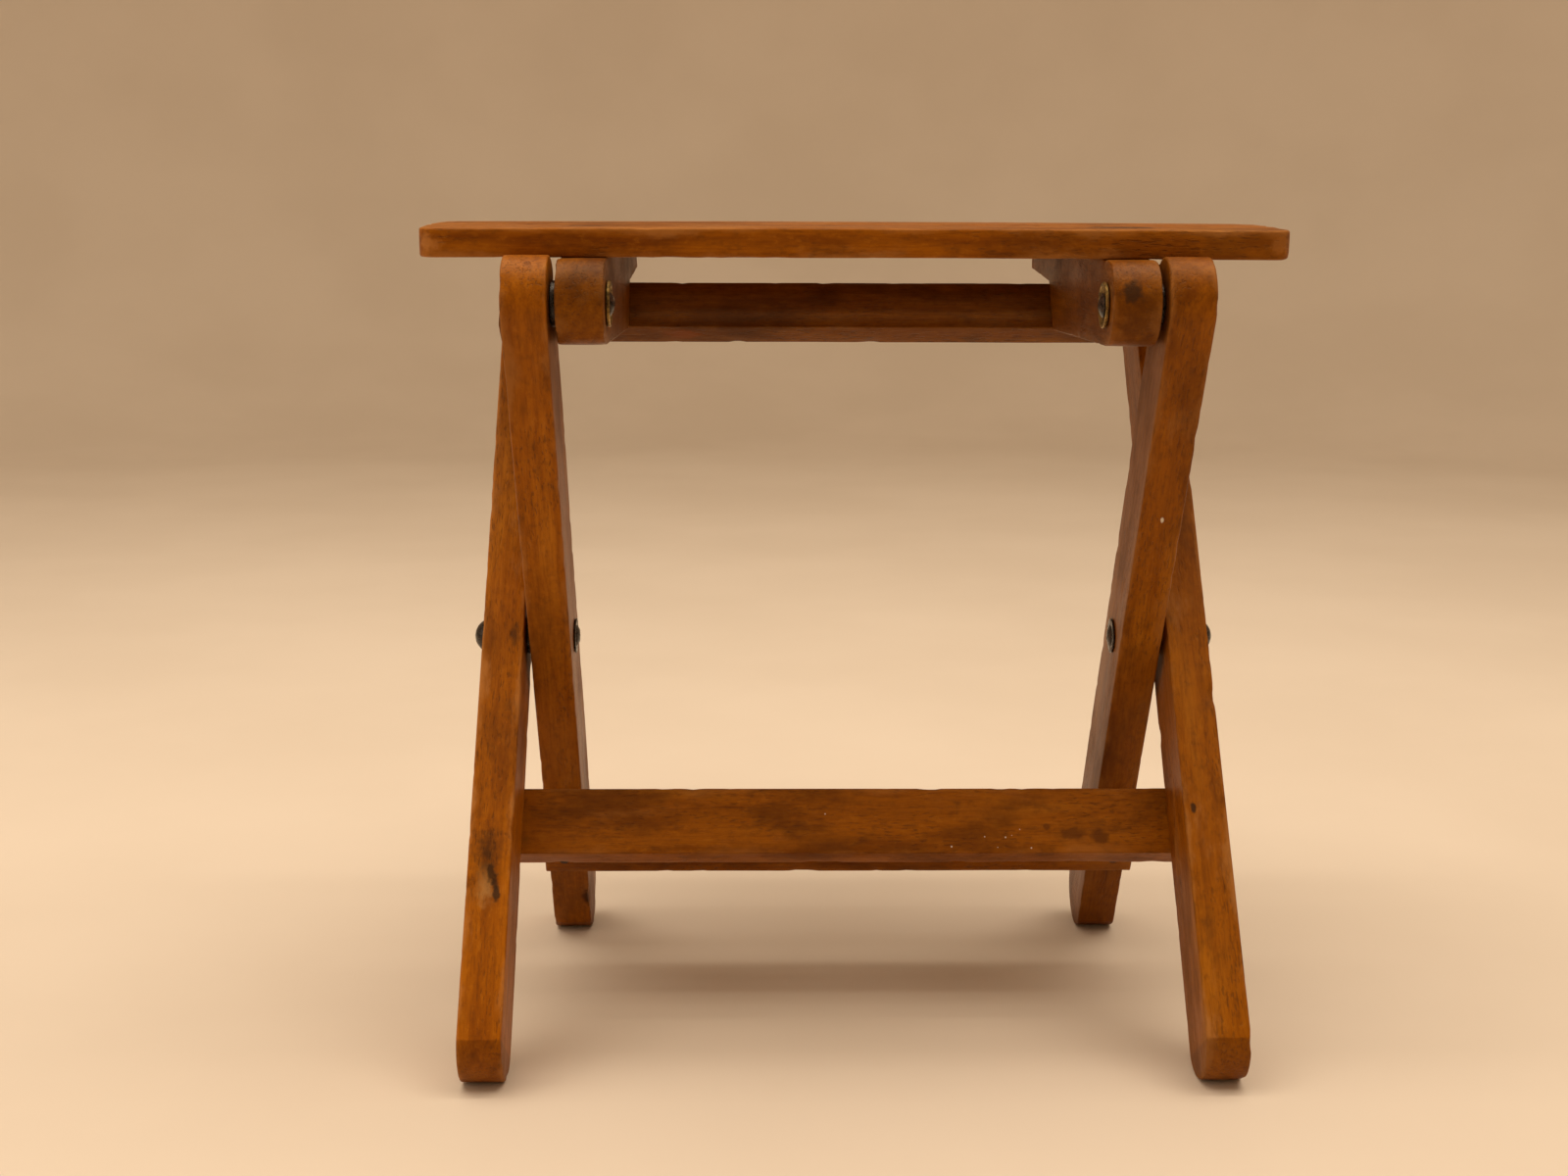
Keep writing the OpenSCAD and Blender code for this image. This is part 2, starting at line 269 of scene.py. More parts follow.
def finished(bm, name, material):
    """The mesh as a smooth-shaded object, linked to the scene."""
    mesh = bpy.data.meshes.new(name)
    bm.to_mesh(mesh)
    bm.free()
    mesh.materials.append(material)
    mesh.polygons.foreach_set("use_smooth", [True] * len(mesh.polygons))
    piece = bpy.data.objects.new(name, mesh)
    bpy.context.scene.collection.objects.link(piece)
    weighted = piece.modifiers.new("even", "WEIGHTED_NORMAL")
    weighted.weight = 60
    weighted.keep_sharp = True
    return piece


# ---- metal meshes ----
def lathe(bm, profile, place, n=48, wobble=0.0, seed=0):
    """Adds a solid turned about the piece's X axis; profile is (x, radius) from one end to the other."""
    rings = []
    for x, r in profile:
        if r < 1e-7:
            rings.append([bm.verts.new(place @ Vector((x, 0, 0)))])
            continue
        ring = []
        for i in range(n):
            t = 2 * math.pi * i / n
            around = Vector((math.cos(t), math.sin(t), seed + x * 200)) * 1.3
            out = 1 - wobble * (0.5 + 0.5 * noise.noise(around))
            ring.append(bm.verts.new(place @ Vector((x, r * out * math.cos(t), r * out * math.sin(t)))))
        rings.append(ring)
    for a, b in zip(rings, rings[1:]):
        for i in range(n):
            j = (i + 1) % n
            if len(a) == 1:
                bm.faces.new((a[0], b[i], b[j]))
            elif len(b) == 1:
                bm.faces.new((a[i], b[0], a[j]))
            else:
                bm.faces.new((a[i], b[i], b[j], a[j]))


def turned(name, body, nodes, parts, material, wobble=0.0, sharp=50, closed=False):
    """One piece of turned solids that stands for the CAD nodes. parts is a list of (profile, place).
    sharp is the angle in degrees above which an edge stays crisp. closed profiles are rings."""
    bm = bmesh.new()
    for k, (profile, place) in enumerate(parts):
        lathe(bm, profile + profile[:1] if closed else profile, place, wobble=wobble, seed=k * 2.3)
    bmesh.ops.remove_doubles(bm, verts=bm.verts, dist=1e-7)
    bmesh.ops.recalc_face_normals(bm, faces=bm.faces)
    piece = finished(bm, name, material)
    piece.data.set_sharp_from_angle(angle=math.radians(sharp))
    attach(piece, body)
    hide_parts(*nodes)


def dome(x, r, h, n):
    """Profile of a dome that stands on x, towards +X, from its rim to its top in n steps."""
    ball = (r * r + h * h) / (2 * h)
    span = math.asin(min(1.0, r / ball))
    turn = [span * (1 - i / n) for i in range(n + 1)]
    return [(x + h - ball + ball * math.cos(t), ball * math.sin(t)) for t in turn]


def nail_profile(length):
    """Head at X 0 facing +X, slightly domed, and its shank towards -X."""
    shank = [(-length, 0), (-length + 2 * MM, NAIL_SHANK_R), (-0.9 * MM, NAIL_SHANK_R)]
    rim = [(-0.8 * MM, NAIL_R * 0.9), (-0.25 * MM, NAIL_R)]
    return shank + rim + dome(-0.1 * MM, NAIL_R * 0.94, 0.35 * MM, 5)


def nails(name, body, places, length, material):
    parts = [(nail_profile(length), place) for place in places]
    turned(name + "_heads", body, [name], parts, material, wobble=0.16, sharp=60)


# ---- shaders ----
class Shader:
    """A node material, built by short calls. Sockets go in and come out.
    along_grain places its patterns in a wooden piece's own axes."""

    def __init__(self, name, along_grain=False):
        self.material = bpy.data.materials.new(name)
        self.material.use_nodes = True
        self.tree = self.material.node_tree
        self.bsdf = self.tree.nodes["Principled BSDF"]
        if along_grain:
            self.place = self.make("ShaderNodeAttribute", {"attribute_name": "grain"}).outputs["Vector"]
        else:
            self.place = self.make("ShaderNodeTexCoord").outputs["Object"]

    def put(self, socket, value):
        if isinstance(value, bpy.types.NodeSocket):
            self.tree.links.new(value, socket)
        elif value is not None:
            socket.default_value = value

    def make(self, kind, settings=None, **inputs):
        node = self.tree.nodes.new(kind)
        for key, value in (settings or {}).items():
            setattr(node, key, value)
        for key, value in inputs.items():
            self.put(node.inputs[key.replace("_", " ")], value)
        return node

    def stretch(self, scale, shift=(0, 0, 0)):
        return self.make("ShaderNodeMapping", Vector=self.place, Scale=scale, Location=shift).outputs[0]

    def noise(self, vector, scale=1.0, detail=2.0, rough=0.5):
        node = self.make("ShaderNodeTexNoise", Vector=vector, Scale=scale, Detail=detail, Roughness=rough)
        return node.outputs["Fac"]

    def rings(self, vector, scale, distortion, detail_scale):
        settings = {"wave_type": "RINGS", "rings_direction": "X"}
        node = self.make("ShaderNodeTexWave", settings, Vector=vector, Scale=scale, Distortion=distortion,
                         Detail=2.0, Detail_Scale=detail_scale)
        return node.outputs["Fac"]

    def math(self, operation, a, b):
        node = self.make("ShaderNodeMath", {"operation": operation})
        self.put(node.inputs[0], a)
        self.put(node.inputs[1], b)
        return node.outputs[0]

    def step(self, value, low, high, out=1.0):
        """0 at low, rising smoothly to out at high."""
        node = self.make("ShaderNodeMapRange", {"interpolation_type": "SMOOTHSTEP"}, Value=value)
        for key, v in (("From Min", low), ("From Max", high), ("To Min", 0.0), ("To Max", out)):
            self.put(node.inputs[key], v)
        return node.outputs[0]

    def mix(self, share, a, b):
        """The colour a with a share of b over it."""
        node = self.make("ShaderNodeMix", {"data_type": "RGBA", "blend_type": "MIX"})
        self.put(node.inputs["Factor"], share)
        self.put(node.inputs["A"], paint(a))
        self.put(node.inputs["B"], paint(b))
        for socket in node.outputs:
            if socket.type == "RGBA":
                return socket

    def ramp(self, value, stops):
        node = self.make("ShaderNodeValToRGB", Fac=value)
        bar = node.color_ramp
        bar.interpolation = "EASE"
        while len(bar.elements) < len(stops):
            bar.elements.new(0.5)
        for element, (at, colour) in zip(bar.elements, stops):
            element.position, element.color = at, paint(colour)
        return node.outputs["Color"]

    def spot(self, at, radius, soft=0.5, long=0.45):
        """1 inside a blot drawn out along the grain, fading to 0 outside it, with a ragged rim.
        soft is the width of the fading rim as a share of the radius, and 1 / long is how many times
        as long as wide the blot is."""
        node = self.make("ShaderNodeVectorMath", {"operation": "SUBTRACT"})
        self.put(node.inputs[0], self.place)
        self.put(node.inputs[1], at)
        flat = self.make("ShaderNodeVectorMath", {"operation": "MULTIPLY"})
        self.put(flat.inputs[0], node.outputs[0])
        self.put(flat.inputs[1], (long, 1, 1))
        size = self.make("ShaderNodeVectorMath", {"operation": "LENGTH"})
        self.put(size.inputs[0], flat.outputs[0])
        ragged = self.math("MULTIPLY", self.noise(self.place, 320.0, 3.0), radius * 1.1)
        away = self.math("ADD", size.outputs["Value"], ragged)
        return self.step(away, radius * 1.55, radius * (1.55 - soft))

    def bump(self, height, distance, strength, normal=None):
        node = self.make("ShaderNodeBump", Height=height, Strength=strength, Distance=distance)
        self.put(node.inputs["Normal"], normal)
        return node.outputs[0]

    def set(self, **inputs):
        for key, value in inputs.items():
            self.put(self.bsdf.inputs[key.replace("_", " ")], value)
        return self.material


def paint(colour):
    """An RGBA value from three numbers; a socket goes through as it is."""
    return (*colour, 1.0) if isinstance(colour, tuple) and len(colour) == 3 else colour


# ---- wood ----
BASE = (0.385, 0.113, 0.002)
LIGHT = (0.52, 0.180, 0.009)
DARK = (0.19, 0.044, 0.001)
WORN = (0.47, 0.190, 0.045)
GRIME = (0.035, 0.014, 0.006)
STAIN = (0.13, 0.034, 0.002)
PEPPER = (0.13, 0.036, 0.004)
SOIL_AND_SHADE = (0.10, 0.028, 0.003)
RUST = (0.055, 0.018, 0.007)
SCUFF = (0.50, 0.265, 0.085)
PAINT = (0.70, 0.64, 0.54)
VARNISH_GLOSS = (1.0, 0.70, 0.34, 1.0)


def wood(name, seed, tone, worn, marks, stain=0.55, foot=None):
    """Old varnished beech: faint growth rings, streaks, short dark flecks, cloudy stains, worn edges.
    marks are blots in the piece's own axes: position, radius, colour, share, then spot's soft and long.
    foot is the place along a leg below which the round foot is painted darker in the soil colour, as
    painted shade where its arc turns down away from the light."""
    s = Shader(name, along_grain=True)
    shift = (seed * 1.37 % 3, seed * 0.61 % 2, seed * 0.83 % 2)
    offset = (shift[0], 3.1 + shift[1], -4.2 - shift[2])

    # shade scales a colour by tone; a low tone is painted shade for a piece that stands in shade
    def shade(c):
        return tuple(min(1.0, v * tone) for v in c)

    # varnish tone
    streaks = s.noise(s.stretch((7, 55, 55), shift), detail=4.0, rough=0.6)
    colour = s.ramp(streaks, [(0.26, shade(DARK)), (0.50, shade(BASE)), (0.76, shade(LIGHT))])
    ring = s.rings(s.stretch((4, 62, 62), offset), 1.0, 5.0, 0.35)
    colour = s.mix(s.step(ring, 0.35, 1.0, 0.20), colour, shade(DARK))
    # fibres, flecks and speckle
    fibre = s.noise(s.stretch((70, 850, 850), shift), detail=3.0, rough=0.6)
    colour = s.mix(s.step(fibre, 0.42, 0.70, 0.42), colour, shade(DARK))
    fleck = s.noise(s.stretch((230, 1000, 1000), offset), detail=1.0)
    patch = s.noise(s.stretch((16, 45, 45), shift), detail=2.0)
    flecks = s.math("MULTIPLY", s.step(fleck, 0.57, 0.68), s.step(patch, 0.38, 0.60))
    colour = s.mix(s.math("MULTIPLY", flecks, 0.40), colour, GRIME)
    speckle = s.noise(s.stretch((190, 330, 330), offset), detail=4.0, rough=0.65)
    colour = s.mix(s.step(speckle, 0.50, 0.72, 0.40), colour, shade(PEPPER))
    colour = s.mix(s.step(speckle, 0.46, 0.30, 0.30), colour, shade(LIGHT))
    # stains and dirt
    cloud = s.noise(s.stretch((14, 30, 30), shift), detail=5.0, rough=0.62)
    colour = s.mix(s.step(cloud, 0.46, 0.66, stain), colour, shade(STAIN))
    mottle = s.noise(s.stretch((60, 110, 110), offset), detail=5.0, rough=0.65)
    colour = s.mix(s.step(mottle, 0.55, 0.72, 0.5 * stain), colour, GRIME)
    # wear: varnish rubbed off, mostly along the edges, and dirt left beside it
    near = s.make("ShaderNodeAttribute", {"attribute_name": "edge"}).outputs["Fac"]
    rub = s.noise(s.stretch((22, 60, 60), offset), detail=5.0, rough=0.65)
    bare = s.step(s.math("ADD", rub, s.math("MULTIPLY", near, 0.24)), 0.56, 0.78, worn * 1.6)
    colour = s.mix(bare, colour, shade(WORN))
    grubby = s.step(s.math("SUBTRACT", s.math("MULTIPLY", near, 0.85), mottle), 0.10, 0.42, 0.55)
    colour = s.mix(grubby, colour, GRIME)
    # painted shade: the round foot below the kink is darkened with the soil colour, where its arc turns
    # away from the light
    if foot is not None:
        along = s.make("ShaderNodeSeparateXYZ", Vector=s.place).outputs["X"]
        painted_foot_shade = s.step(along, foot + 0.8 * MM, foot - 0.8 * MM, 0.40)
        colour = s.mix(painted_foot_shade, colour, SOIL_AND_SHADE)
    for at, radius, tint, share, *shape in marks:
        colour = s.mix(s.math("MULTIPLY", s.spot(at, radius, *shape), share), colour, tint)
    rough = s.math("ADD", s.step(cloud, 0.35, 0.7, 0.16), s.step(bare, 0.0, 0.6, 0.14))
    rough = s.math("ADD", rough, 0.36)
    broad = s.bump(streaks, 0.0010, 0.4)
    pits = s.bump(mottle, 0.0006, 0.35, broad)
    grain = s.math("SUBTRACT", s.math("MULTIPLY", fibre, 0.6), s.math("MULTIPLY", flecks, 0.8))
    return s.set(Base_Color=colour, Roughness=rough, Normal=s.bump(grain, 0.00022, 0.9, pits),
                 IOR=1.32, Specular_IOR_Level=0.35, Specular_Tint=VARNISH_GLOSS, Coat_Weight=0.02,
                 Coat_Roughness=0.35)


def dark_steel():
    s = Shader("dark_steel")
    blotch = s.noise(s.place, 420.0, 4.0, 0.6)
    black, brown, rust = (0.012, 0.010, 0.009), (0.035, 0.024, 0.018), (0.105, 0.042, 0.018)
    colour = s.ramp(blotch, [(0.35, black), (0.55, brown), (0.75, rust)])
    pits = s.noise(s.place, 1900.0, 2.0)
    return s.set(Base_Color=colour, Metallic=0.55, Roughness=s.step(blotch, 0.3, 0.7, 0.62),
                 Normal=s.bump(pits, 0.0002, 0.5))


def rust_steel():
    s = Shader("rusty_nail")
    blotch = s.noise(s.place, 700.0, 4.0, 0.65)
    black, brown, rust = (0.010, 0.008, 0.007), (0.045, 0.020, 0.010), (0.13, 0.045, 0.015)
    colour = s.ramp(blotch, [(0.35, black), (0.6, brown), (0.8, rust)])
    return s.set(Base_Color=colour, Metallic=0.3, Roughness=0.62, Normal=s.bump(blotch, 0.0004, 0.6))


def aged_brass():
    s = Shader("aged_brass")
    tarnish = s.noise(s.place, 380.0, 4.0, 0.65)
    brown, dull, bright = (0.10, 0.062, 0.018), (0.36, 0.235, 0.07), (0.62, 0.43, 0.15)
    colour = s.ramp(tarnish, [(0.38, brown), (0.55, dull), (0.72, bright)])
    scratch = s.noise(s.stretch((3000, 600, 600)), detail=2.0)
    rough = s.math("ADD", s.step(tarnish, 0.7, 0.35, 0.35), 0.25)
    return s.set(Base_Color=colour, Metallic=0.85, Roughness=rough, Normal=s.bump(scratch, 0.00015, 0.4))


# ---- the pieces ----
# how light each piece's varnish is; the low values are painted shade for the pieces that stand in shade:
# the bearers and rail under the seat, the stretchers, the slats and the inner legs
TONE_AND_PAINTED_SHADE = {
    "outer_leg_left": 1.0, "outer_leg_right": 0.78, "inner_leg_left": 0.84, "inner_leg_right": 0.68,
    "front_stretcher": 0.78, "rear_rail": 0.5, "rear_stretcher": 0.75, "slats": 0.80,
    "bearer_left": 0.50, "bearer_right": 0.54,
}

# legs: body, lean, and how far the middle of the round top is from the crossing
LEGS = {
    "outer_leg_left": ("outer_frame", OUTER_LEAN, OUTER_ARM),
    "outer_leg_right": ("outer_frame", OUTER_LEAN, OUTER_ARM),
    "inner_leg_left": ("inner_frame", -INNER_LEAN, SEAT_ARM + TOP_LIFT),
    "inner_leg_right": ("inner_frame", -INNER_LEAN, SEAT_ARM + TOP_LIFT),
}

# boards across the legs: body, lean, lower edge, width, rear face and thickness, in board_axes
BOARDS = {
    "front_stretcher": ("outer_frame", OUTER_LEAN, -FRONT_DROP - STRETCHER_W, STRETCHER_W,
                        -LEG_R - STRETCHER_T, STRETCHER_T),
    "rear_rail": ("outer_frame", OUTER_LEAN, RAIL_RISE, RAIL_W, LEG_R, RAIL_T),
    "rear_stretcher": ("inner_frame", -INNER_LEAN, -REAR_DROP - STRETCHER_W, STRETCHER_W,
                       LEG_R, STRETCHER_T),
}

# paint specks on the front stretcher: X, share of its width, radius in millimetres
SPECKS = (
    (0.088, 0.08, 0.6), (0.076, 0.24, 0.5), (0.079, 0.27, 0.35), (0.066, 0.25, 0.4),
    (0.072, 0.09, 0.3), (0.050, 0.10, 0.5), (0.083, 0.36, 0.3), (-0.010, 0.60, 0.5),
)


def on_front(along, x):
    """A place on a leg's front face, in leg_axes."""
    return (along, LEG_R, x)


LEG_MARKS = {
    "outer_leg_left": [
        # a scar: rubbed wood with a ragged crack, and dirt above it
        (on_front(-0.132, -0.165), 6 * MM, SCUFF, 0.55, 0.9),
        (on_front(-0.1265, -0.1630), 2.3 * MM, GRIME, 0.85),
        (on_front(-0.131, -0.1610), 2.3 * MM, GRIME, 0.95),
        (on_front(-0.136, -0.1600), 2.2 * MM, GRIME, 0.9),
        (on_front(-0.117, -0.165), 9 * MM, GRIME, 0.8, 1.1),
        # a knot and two faint stains
        (on_front(-0.008, -0.1585), 3.4 * MM, GRIME, 0.7, 0.8),
        (on_front(-0.045, -0.160), 4 * MM, GRIME, 0.35, 1.4),
        (on_front(0.050, -0.158), 3 * MM, GRIME, 0.4, 1.2),
    ],
    "outer_leg_right": [
        (on_front(-0.096, 0.1585), 1.5 * MM, GRIME, 0.9),
        (on_front(-0.150, 0.160), 8 * MM, GRIME, 0.35, 1.4),
    ],
    "inner_leg_left": [
        (on_front(-0.168, -0.133), 3.2 * MM, GRIME, 0.9),
        # a broad darker blot above the crossing
        (on_front(0.02, -0.142), 24 * MM, SOIL_AND_SHADE, 0.6, 1.4),
        # painted shade: the lower leg darkened where it stands in shade below the front stretcher
        (on_front(-0.14, -0.142), 40 * MM, SOIL_AND_SHADE, 0.7, 1.4),
    ],
    "inner_leg_right": [
        (on_front(0.085, 0.142), 1.0 * MM, PAINT, 0.9),
        # painted shade: the lower leg darkened where it stands in shade below the front stretcher
        (on_front(-0.14, 0.142), 40 * MM, SOIL_AND_SHADE, 0.5, 1.4),
    ],
}

LEG_DENTS = {
    "outer_leg_left": [
        (on_front(-0.132, -0.165), 4.5 * MM, 0.5 * MM),
        (on_front(-0.131, -0.1605), 2.0 * MM, 1.2 * MM),
        (on_front(-0.104, -0.1545), 2.5 * MM, 1.4 * MM),
    ],
    "outer_leg_right": [(on_front(-0.040, 0.173), 2.5 * MM, 0.9 * MM)],
    "inner_leg_left": [(on_front(-0.168, -0.1325), 3.0 * MM, 2.0 * MM)],
    "inner_leg_right": [(on_front(0.13, 0.1505), 2.2 * MM, 0.8 * MM)],
}


def ends(node):
    """Where a CAD node begins and ends in X."""
    low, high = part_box(node)
    return low.x, high.x


def make_legs():
    for k, (name, (body, lean, top)) in enumerate(LEGS.items()):
        low = -(CROSS.z - FOOT_R) / math.cos(lean)
        kink = low - math.sqrt(FOOT_R ** 2 - LEG_R ** 2)
        worn = 0.5 if body == "outer_frame" else 0.3
        look = wood(name, 3.1 + 2.7 * k, TONE_AND_PAINTED_SHADE[name], worn=worn, marks=LEG_MARKS[name], foot=kink)
        timber(name, body, leg_outline(abs(lean), top), *ends(name), leg_axes(lean), k + 1, look,
               ease=1.1 * MM, dents=LEG_DENTS[name])


def board_marks(name):
    """Blots and paint specks on the front stretcher's front face, and a knot under the rail."""
    _, _, low, width, rear, thick = BOARDS[name]
    front = rear + thick
    if name == "front_stretcher":
        blots = [
            ((0.121, low + width * 0.25, front), 4.5 * MM, SOIL_AND_SHADE, 0.8, 0.5, 0.8),
            ((0.108, low + width * 0.30, front), 3.5 * MM, SOIL_AND_SHADE, 0.7),
            ((0.096, low + width * 0.40, front), 2.0 * MM, SOIL_AND_SHADE, 0.7, 0.5, 1.0),
        ]
        specks = [((x, low + width * up, front), r * MM, PAINT, 0.9, 0.5, 1.0) for x, up, r in SPECKS]
        return blots + specks
    if name == "rear_rail":
        return [((-0.08, low, rear + thick / 2), 5 * MM, DARK, 0.9)]
    return []


def make_boards():
    for k, (name, (body, lean, low, width, rear, thick)) in enumerate(BOARDS.items()):
        x0, x1 = ends(name)
        look = wood(name, 15.3 + 3.3 * k, TONE_AND_PAINTED_SHADE[name], stain=0.75, worn=0.2, marks=board_marks(name))
        timber(name, body, rectangle(x0, low, x1, low + width), rear, rear + thick, board_axes(lean),
               11 + k, look, ease=0.8 * MM)


def slat_marks(i):
    """Rust round the two nails, and on the front slat paler, worn wood at its front corners, which also
    paints the light that their rounding catches.
    """
    marks = []
    for side in (-1, 1):
        radius = (7 + 2.5 * math.sin(2.4 * i + side)) * MM
        marks.append(((side * BEARER_X, 0, SLAT_T), radius, RUST, 0.85))
    # worn colour at the front corners, partly painted light on their rounded ends
    if i == 0:
        for side, share in ((-1, 0.6), (1, 0.35)):
            corner = (side * 0.188, -SLAT_W / 2, SLAT_T / 2)
            marks.append((corner, 5 * MM, WORN, share, 0.6))
    return marks


def slat_bow(x):
    """The slats drop a little towards their ends."""
    return -SLAT_BOW * (x / BEARER_X) ** 2


def make_seat():
    half_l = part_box("slat_1")[1].x
    for i in range(SLAT_N):
        name = f"slat_{i + 1}"
        front_r = SEAT_CORNER if i == 0 else 1.5 * MM
        rear_r = SEAT_CORNER if i == SLAT_N - 1 else 1.5 * MM
        look = wood(name, 27.9 + 4.1 * i, TONE_AND_PAINTED_SHADE["slats"], stain=0.6, worn=0.4, marks=slat_marks(i))
        timber(name, "seat", slat_outline(half_l, front_r, rear_r), 0, SLAT_T, slat_axes(i), 21 + i, look,
               ease=1.2 * MM, bend=slat_bow)
    for k, name in enumerate(("bearer_left", "bearer_right")):
        x0, x1 = ends(name)
        smudge = ((-15 * MM, 6 * MM, x0 + 8 * MM), 6 * MM, GRIME, 0.9)
        marks = [smudge] if name == "bearer_right" else []
        look = wood(name, 55.7 + 5.9 * k, TONE_AND_PAINTED_SHADE[name], stain=0.7, worn=0.3, marks=marks)
        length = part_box(name)[1].y - SEAT.y
        timber(name, "seat", bearer_outline(length), x0, x1, axes(SEAT, Y, Z), 31 + k, look,
               ease=0.8 * MM)


# ---- rivets, washers and nails ----
# Profiles are drawn for the right side. X is measured from the middle plane.
def mirrored(place, side):
    """place for side 1, and its mirror image in the middle plane for side -1."""
    return place @ Matrix.Diagonal((side, 1, 1, 1))


def reach(node):
    """How far a rivet's ends are from the middle plane, the nearer first."""
    return sorted(abs(x) for x in ends(node))


def ring_reach(node):
    """The same for a pair of rings, one on each side."""
    far = [abs(v.co.x) for v in frame["nodes"][node].data.vertices]
    return min(far), max(far)


def cross_rivet_profile(node):
    """The closed end inside the inner leg, the shank and the domed head outside the outer leg."""
    near, far = reach(node)
    low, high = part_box(node)
    leg_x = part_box("outer_leg_right")[1].x
    rim = (high.z - low.z) / 2
    shank = 3.5 * MM
    end = [(near - 0.8 * MM, 0), (near - 0.5 * MM, 3 * MM), (near + 0.6 * MM, 5.2 * MM),
           (near + 1.2 * MM, 5.4 * MM), (near + 1.3 * MM, shank)]
    head = [(leg_x, shank), (leg_x, rim - 0.2 * MM), (leg_x + 0.5 * MM, rim - 0.05 * MM)]
    return end + head + dome(leg_x + 0.6 * MM, rim - 0.2 * MM, far - leg_x - 0.65 * MM, 10)


def seat_rivet_profile(node):
    """The round head inside the bearer, the shank and the flat end outside the inner leg."""
    near, far = reach(node)
    shank, end = 3.25 * MM, 5.2 * MM
    head_r, head_h = 5.4 * MM, 1.9 * MM
    head = [(near + head_h - x, r) for x, r in reversed(dome(0, head_r, head_h, 8))]
    middle = [(near + 2.1 * MM, shank), (far - 1.1 * MM, shank), (far - 1.0 * MM, end)]
    return head + middle + dome(far - 0.9 * MM, end, 0.9 * MM, 5)


def washer_profile(x0, x1, r, hole):
    """A flat ring with its outer edges broken."""
    left = [(x0, hole), (x0, r - 0.3 * MM), (x0 + 0.25 * MM, r)]
    return left + [(x1 - 0.25 * MM, r), (x1, r - 0.3 * MM), (x1, hole)]


def cup_profile(x0, x1, hole):
    """A cup washer with its rim turned towards the middle plane."""
    back = [(x1, hole), (x1, 9.4 * MM), (x1 - 0.3 * MM, 9.9 * MM)]
    rim = [(x0, 10 * MM), (x0 - 0.35 * MM, 9.6 * MM), (x0 - 0.3 * MM, 9.0 * MM)]
    return back + rim + [(x0 + 0.45 * MM, 8.0 * MM), (x0 + 0.6 * MM, hole)]


def make_rivets(steel):
    for side, word in ((-1, "left"), (1, "right")):
        for kind, body, origin, profile, part, wobble in (
                ("cross_rivet_", "outer_frame", CROSS, cross_rivet_profile, "_head", 0.02),
                ("seat_rivet_", "seat_pins", SEAT, seat_rivet_profile, "_pin", 0.03)):
            node = kind + word
            parts = [(profile(node), mirrored(Matrix.Translation(origin), side))]
            turned(node + part, body, [node], parts, steel, wobble=wobble)


def make_washers(steel, brass):
    hole = 3.4 * MM
    for node, body, origin, r in (
            ("leg_washers", "outer_frame", CROSS, 9 * MM),
            ("end_washers", "outer_frame", CROSS, 8.5 * MM),
            ("spacer_washers", "seat_pins", SEAT, 10 * MM)):
        profile = washer_profile(*ring_reach(node), r, hole)
        parts = [(profile, mirrored(Matrix.Translation(origin), side)) for side in (-1, 1)]
        turned(node + "_rings", body, [node], parts, steel, wobble=0.02, closed=True)
    profile = cup_profile(*ring_reach("brass_washers"), hole)
    parts = [(profile, mirrored(Matrix.Translation(SEAT), side)) for side in (-1, 1)]
    turned("brass_washers_cups", "seat_pins", ["brass_washers"], parts, brass, wobble=0.012,
           closed=True)


def board_nail_places(board, x):
    """Two nails at each end of a board, x from the middle, their heads on its face away from the legs."""
    _, lean, low, width, rear, thick = BOARDS[board]
    outward, face = (Z, rear + thick) if rear > 0 else (-Z, rear)
    places = []
    for side in (-1, 1):
        for share in (0.27, 0.73):
            at = Vector((side * x, low + width * share, face))
            places.append(board_axes(lean) @ axes(at, outward, Y))
    return places


def make_nails(rust):
    for node, board, length, x in (
            ("front_stretcher_nails", "front_stretcher", 32 * MM, 164 * MM),
            ("rail_nails", "rear_rail", 32 * MM, 164 * MM),
            ("rear_stretcher_nails", "rear_stretcher", 30 * MM, 141.5 * MM)):
        nails(node, BOARDS[board][0], board_nail_places(board, x), length, rust)
    places = []
    for i in range(SLAT_N):
        for side in (-1, 1):
            at = Vector((side * BEARER_X, 0, SLAT_T - SLAT_NAIL_SINK))
            places.append(slat_axes(i) @ axes(at, Z, Y))
    nails("slat_nails", "seat", places, 18.5 * MM, rust)


def make_hardware():
    steel, rust, brass = dark_steel(), rust_steel(), aged_brass()
    make_rivets(steel)
    make_washers(steel, brass)
    make_nails(rust)


# ---- the studio ----
LAMP_COLOUR = (1.0, 0.86, 0.68)
ROOM_COLOUR, ROOM_LIGHT = (1.0, 0.74, 0.45), 0.34

# soft lamps: name, place, what it points at, size, watts
LAMPS = (
    ("overhead", (0, 0, 2.1), (0, 0, 0), (3.6, 2.0), 50),
    ("strip", (0, 0, 2.05), (0, 0, 0), (2.8, 0.12), 9),
    ("front", (-0.3, -2.2, 1.5), (0, 0, 0.1), (2.4, 1.4), 2.5),
    ("side", (-2.0, -0.6, 0.9), (0, 0, 0.2), (1.3, 1.3), 6),
)

# the camera that was fitted to the photograph
EYE = (-0.045, -0.9595, 0.3713)
YAW, PITCH, ROLL = math.radians(0.93), math.radians(10.05), math.radians(0.2)
LENS, SENSOR = 45.7, 36


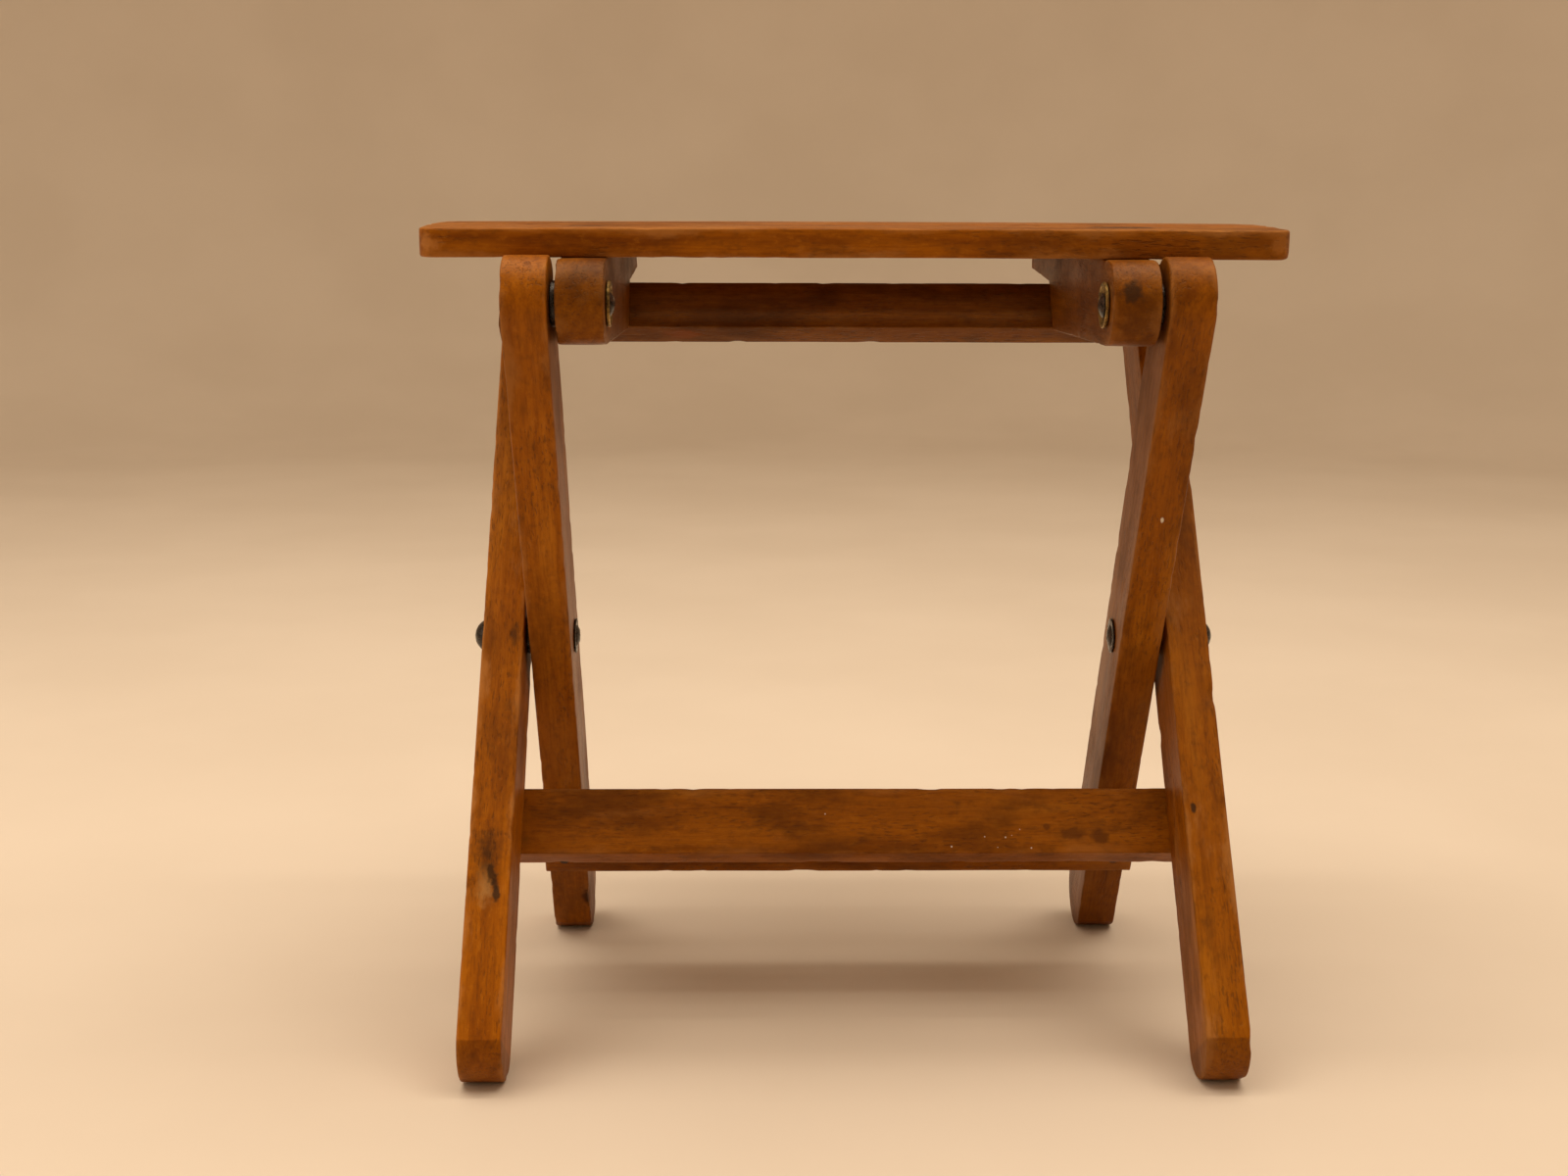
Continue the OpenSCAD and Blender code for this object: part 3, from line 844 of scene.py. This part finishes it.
def make_backdrop():
    """A pale floor that curves up into a pale round wall."""
    s = Shader("pale_floor")
    colour = s.ramp(s.noise(s.place, 3.0, 4.0), [(0.3, (0.76, 0.66, 0.56)), (0.7, (0.80, 0.70, 0.60))])
    pale = s.set(Base_Color=colour, Roughness=0.6)
    flat, sweep, top = 2.6, 1.2, 3.4
    curve = [(sweep + y, flat + x) for x, y in arc(0, 0, sweep, -90, 0, 24)]
    profile = [(0, 0), (0, 0.9)] + curve + [(top, flat + sweep)]
    bm = bmesh.new()
    lathe(bm, profile, Matrix.Rotation(-math.pi / 2, 4, "Y"), n=128)
    bmesh.ops.recalc_face_normals(bm, faces=bm.faces)
    mesh = bpy.data.meshes.new("sweep")
    bm.to_mesh(mesh)
    bm.free()
    mesh.materials.append(pale)
    mesh.polygons.foreach_set("use_smooth", [True] * len(mesh.polygons))
    floor = bpy.data.objects.new("sweep", mesh)
    bpy.context.scene.collection.objects.link(floor)


def make_lamps():
    """Light from overhead, weak lamps in front and at the left, and a warm dim room."""
    for name, place, aim, size, watts in LAMPS:
        data = bpy.data.lights.new(name, "AREA")
        data.shape, data.size, data.size_y = "RECTANGLE", *size
        data.energy, data.color = watts, LAMP_COLOUR
        lamp = bpy.data.objects.new(name, data)
        lamp.location = place
        lamp.rotation_euler = (Vector(aim) - Vector(place)).to_track_quat("-Z", "Y").to_euler()
        bpy.context.scene.collection.objects.link(lamp)
    world = bpy.data.worlds.new("room")
    world.use_nodes = True
    background = world.node_tree.nodes["Background"]
    background.inputs["Color"].default_value = (*ROOM_COLOUR, 1)
    background.inputs["Strength"].default_value = ROOM_LIGHT
    bpy.context.scene.world = world
    bpy.context.scene.view_settings.view_transform = "Standard"


def make_camera():
    """A camera just below the height of the seat, looking down a little."""
    data = bpy.data.cameras.new("camera")
    data.sensor_width = SENSOR
    data.lens = LENS
    camera = bpy.data.objects.new("camera", data)
    camera.location = EYE
    tilt = Matrix.Rotation(math.pi / 2 - PITCH, 4, "X") @ Matrix.Rotation(ROLL, 4, "Z")
    camera.rotation_euler = (Matrix.Rotation(-YAW, 4, "Z") @ tilt).to_euler()
    bpy.context.scene.collection.objects.link(camera)
    bpy.context.scene.camera = camera


make_legs()
make_boards()
make_seat()
make_hardware()
make_backdrop()
make_lamps()
make_camera()
